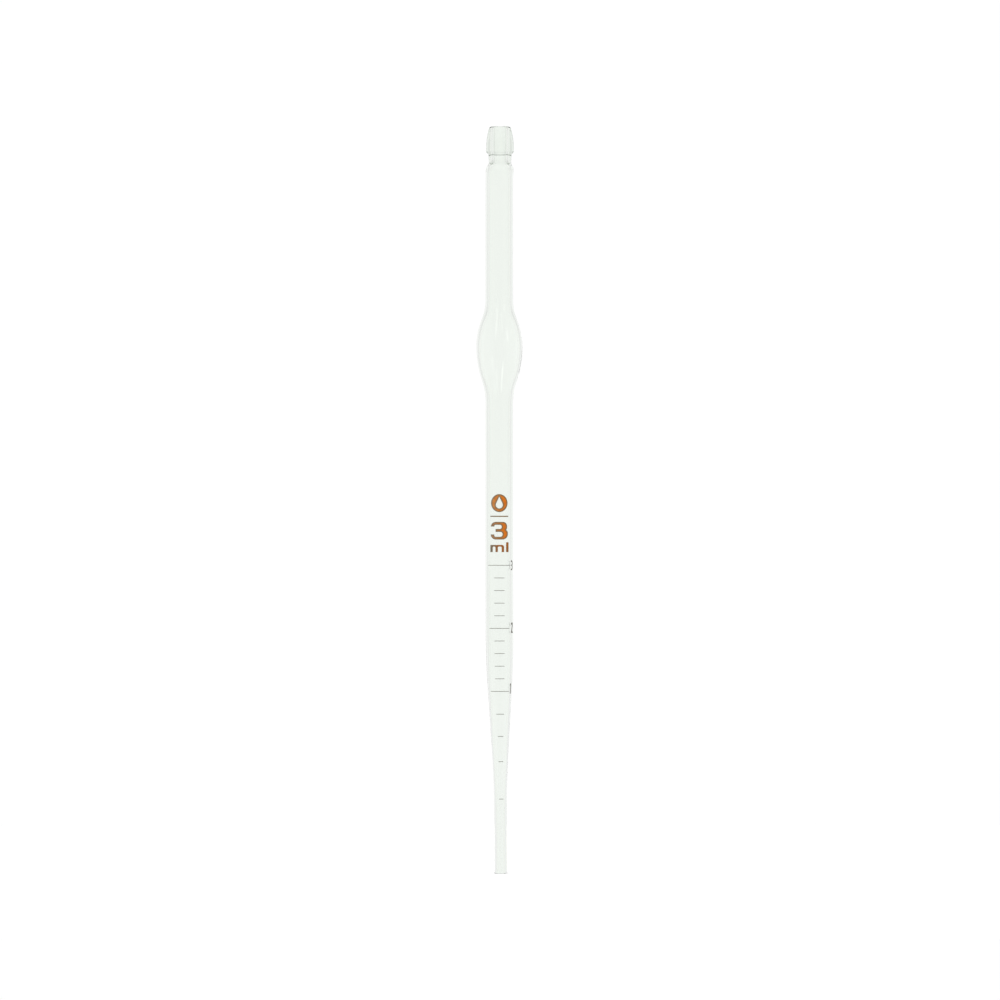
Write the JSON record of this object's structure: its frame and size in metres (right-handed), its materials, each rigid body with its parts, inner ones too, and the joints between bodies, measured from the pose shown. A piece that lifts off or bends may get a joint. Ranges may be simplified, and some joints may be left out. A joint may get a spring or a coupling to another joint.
{
  "type": "komagome pipette",
  "caption": "Slim graduated glass dropping pipette with a safety bulb, a beaded mouth for a rubber bulb, a printed scale and a long tapered tip.",
  "frame": {"origin": "centre of the delivery tip's end face, on the axis", "axes": "+Z along the axis from the tip to the mouth; -Y out of the printed front; +X to the side with the scale's numerals"},
  "size_m": [0.0164, 0.0164, 0.2656],
  "materials": {
    "clear_glass": "clear glass, taken to be borosilicate, with smooth rounded ends and a very faint green tint in the edges",
    "scale_enamel": "fired dark grey enamel, thin, satin",
    "amber_enamel": "fired amber enamel, thin, satin",
    "brown_enamel": "fired brown enamel, thin, satin"
  },
  "bodies": {
    "root": {"glass_body": "clear_glass", "mark_0_2_ml": "scale_enamel", "mark_0_4_ml": "scale_enamel", "mark_0_6_ml": "scale_enamel", "mark_0_8_ml": "scale_enamel", "mark_1_0_ml": "scale_enamel", "mark_1_2_ml": "scale_enamel", "mark_1_4_ml": "scale_enamel", "mark_1_6_ml": "scale_enamel", "mark_1_8_ml": "scale_enamel", "mark_2_0_ml": "scale_enamel", "mark_2_2_ml": "scale_enamel", "mark_2_4_ml": "scale_enamel", "mark_2_6_ml": "scale_enamel", "mark_2_8_ml": "scale_enamel", "mark_3_0_ml": "scale_enamel", "numeral_1": "scale_enamel", "numeral_2": "scale_enamel", "numeral_3": "scale_enamel", "drop_emblem": "amber_enamel", "emblem_rule": "amber_enamel", "capacity_digit_3": "amber_enamel", "unit_letter_m": "brown_enamel", "unit_letter_l": "brown_enamel"}
  },
  "joints": []
}
